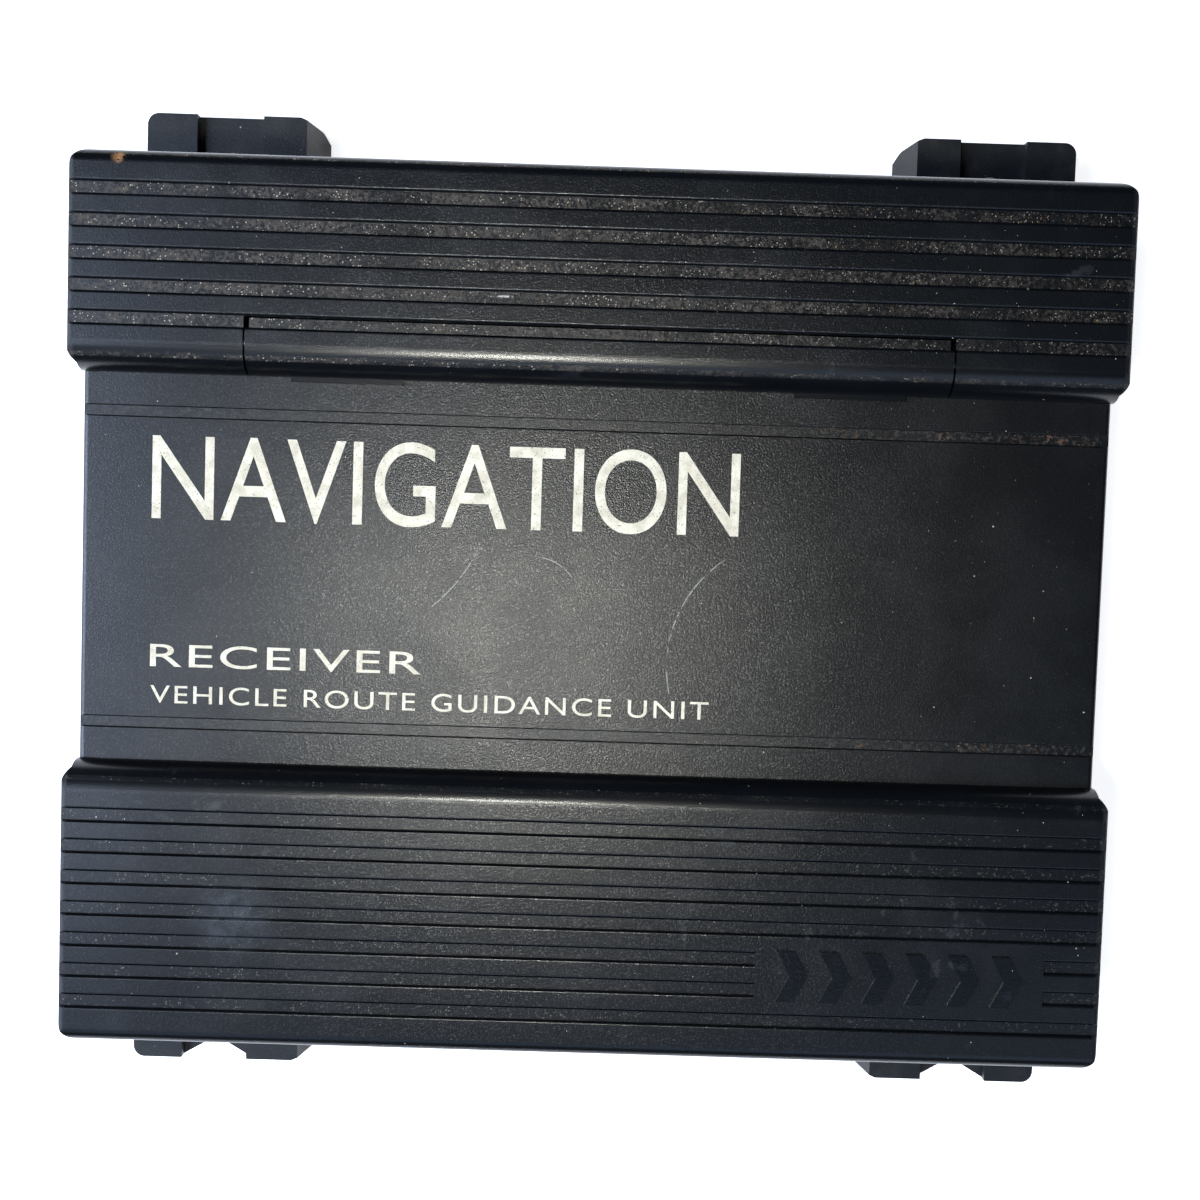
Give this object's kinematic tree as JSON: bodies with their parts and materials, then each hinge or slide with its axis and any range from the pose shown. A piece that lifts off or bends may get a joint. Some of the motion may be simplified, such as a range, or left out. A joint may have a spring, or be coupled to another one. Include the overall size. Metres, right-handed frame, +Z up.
{
  "type": "hideaway navigation unit",
  "caption": "Flat black in-vehicle navigation box with ribbed end caps, a hinged service door, rear connectors and mounting ears.",
  "frame": {"origin": "centre of the whole footprint, on the plane the box is mounted to", "axes": "+X to the right along the ribs, +Y from the front cap to the rear cap with the service door and the connectors, +Z up out of the ribbed face"},
  "size_m": [0.15, 0.1508, 0.0344],
  "materials": {
    "case_plastic": "moulded black ABS, fine spark texture",
    "cap_plastic": "moulded black ABS, satin",
    "panel_plastic": "moulded black ABS, coarser spark texture",
    "inner_plastic": "moulded black nylon",
    "connector_nylon": "natural nylon",
    "contact_gold": "gold flash over brass",
    "insulator": "white moulded insulator",
    "bright_steel": "bright zinc",
    "black_steel": "black oxide",
    "tin_plate": "tin-plated sheet",
    "board_mask": "green solder mask on glass-epoxy",
    "chip_epoxy": "moulded epoxy",
    "label_film": "silver polyester film",
    "card_plastic": "moulded black card",
    "button_plastic": "grey ABS",
    "lamp_lens": "clear polycarbonate",
    "capacitor_can": "drawn can",
    "ferrite": "pressed ferrite",
    "silicone_pad": "soft filled silicone"
  },
  "bodies": {
    "case": {"base_tray": "case_plastic", "center_cover": "panel_plastic", "front_cap": "cap_plastic", "rear_cap": "cap_plastic", "hinge_pins": "bright_steel", "bay_floor": "inner_plastic", "connector_panel": "inner_plastic", "case_screws": "black_steel", "rating_label": "label_film", "main_board": "board_mask", "board_screws": "bright_steel", "power_connector": "connector_nylon", "power_pins": "contact_gold", "interface_socket": "inner_plastic", "interface_core": "insulator", "antenna_jack": "contact_gold", "antenna_core": "insulator", "traffic_jack": "inner_plastic", "card_socket": "tin_plate", "usb_riser_board": "board_mask", "usb_socket": "tin_plate", "usb_core": "inner_plastic", "reset_switch": "inner_plastic", "status_led": "insulator", "light_pipe": "lamp_lens", "processor_chip": "chip_epoxy", "thermal_pad": "silicone_pad", "memory_chips": "chip_epoxy", "processor_shield": "tin_plate", "gps_receiver_chip": "chip_epoxy", "gps_shield": "tin_plate", "crystals": "tin_plate", "power_inductors": "ferrite", "power_capacitors": "capacitor_can", "power_regulators": "chip_epoxy", "cell_holder": "inner_plastic", "backup_cell": "bright_steel"},
    "door": {"access_door": "cap_plastic"},
    "card": {"memory_card": "card_plastic"},
    "reset": {"reset_button": "button_plastic", "switch_plunger": "inner_plastic"}
  },
  "joints": [
    {"name": "door_hinge", "type": "hinge", "parent": "case", "child": "door", "pos_m": [0, 0.03722, 0.0324], "axis": [-1, 0, 0], "range_deg": [0, 105]},
    {"name": "card_slide", "type": "slide", "parent": "case", "child": "card", "axis": [0, 0, 1], "range_m": [-0.0006, 0.004]},
    {"name": "reset_press", "type": "slide", "parent": "case", "child": "reset", "axis": [0, 0, -1], "range_m": [0, 0.0005], "stiffness_N_per_m": 300}
  ]
}
